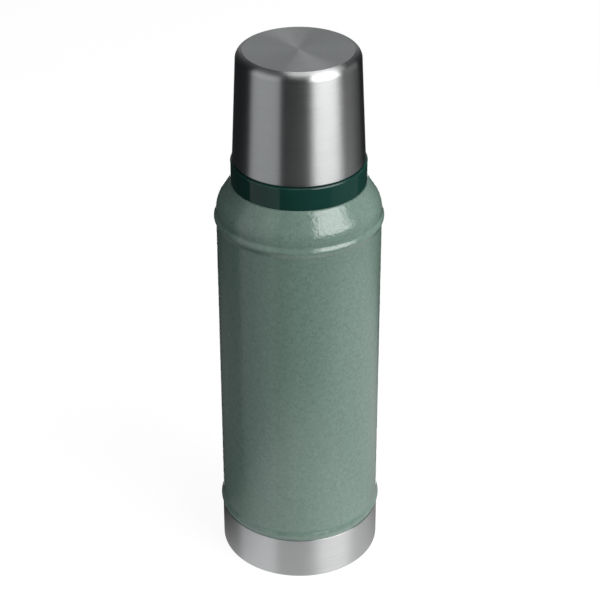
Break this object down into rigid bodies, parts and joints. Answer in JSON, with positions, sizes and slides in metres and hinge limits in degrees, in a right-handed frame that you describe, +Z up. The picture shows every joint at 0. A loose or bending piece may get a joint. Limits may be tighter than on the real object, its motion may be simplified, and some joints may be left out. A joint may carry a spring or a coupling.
{
  "type": "vacuum flask",
  "caption": "Double-walled steel vacuum flask with a screw stopper and an insulated screw-on cup.",
  "frame": {"origin": "centre of the foot ring, on the surface that the flask stands on", "axes": "+Z up along the flask's axis, from the foot to the cup; +X starts the threads"},
  "size_m": [0.0922, 0.0922, 0.311],
  "materials": {
    "enamel": "grey-green hammered enamel",
    "brushed": "brushed round the axis",
    "inner_steel": "satin",
    "foil": "bright foil",
    "solder": "dull grey",
    "collar_plastic": "glossy dark green",
    "stopper_plastic": "satin dark green",
    "liner_plastic": "glossy dark green",
    "silicone": "milky silicone",
    "foam": "rigid foam"
  },
  "bodies": {
    "bottle": {"shoulder": "enamel", "body_tube": "enamel", "base_cup": "brushed", "base_cover": "brushed", "evacuation_seal": "solder", "inner_neck": "inner_steel", "inner_shoulder": "inner_steel", "inner_body": "inner_steel", "inner_base": "inner_steel", "heat_reflector": "foil", "reflector_disc": "foil", "getter_holder": "inner_steel", "getter": "solder", "neck_collar": "collar_plastic", "collar_seal": "silicone"},
    "stopper_carrier": {"stopper_core": "foam"},
    "stopper": {"stopper_knob": "stopper_plastic", "stopper_body": "stopper_plastic", "stopper_base": "stopper_plastic", "stopper_seal": "silicone", "stopper_top_seal": "silicone"},
    "cup_carrier": {"cup_insulation": "foam"},
    "cup": {"cup_shell": "brushed", "cup_liner": "liner_plastic", "cup_gasket": "silicone"}
  },
  "joints": [
    {"name": "stopper_lift", "type": "slide", "parent": "bottle", "child": "stopper_carrier", "axis": [0, 0, 1], "range_m": [0, 0.026]},
    {"name": "stopper_turn", "type": "hinge", "parent": "stopper_carrier", "child": "stopper", "pos_m": [0, 0, 0.25], "axis": [0, 0, 1], "range_deg": [0, 1873]},
    {"name": "cup_lift", "type": "slide", "parent": "bottle", "child": "cup_carrier", "axis": [0, 0, 1], "range_m": [0, 0.064]},
    {"name": "cup_turn", "type": "hinge", "parent": "cup_carrier", "child": "cup", "pos_m": [0, 0, 0.255], "axis": [0, 0, 1], "range_deg": [0, 2881]}
  ],
  "couplings": [
    {"joint": "stopper_turn", "follows": "stopper_lift", "rad_per_m": 1256.6},
    {"joint": "cup_turn", "follows": "cup_lift", "rad_per_m": 785.4}
  ]
}
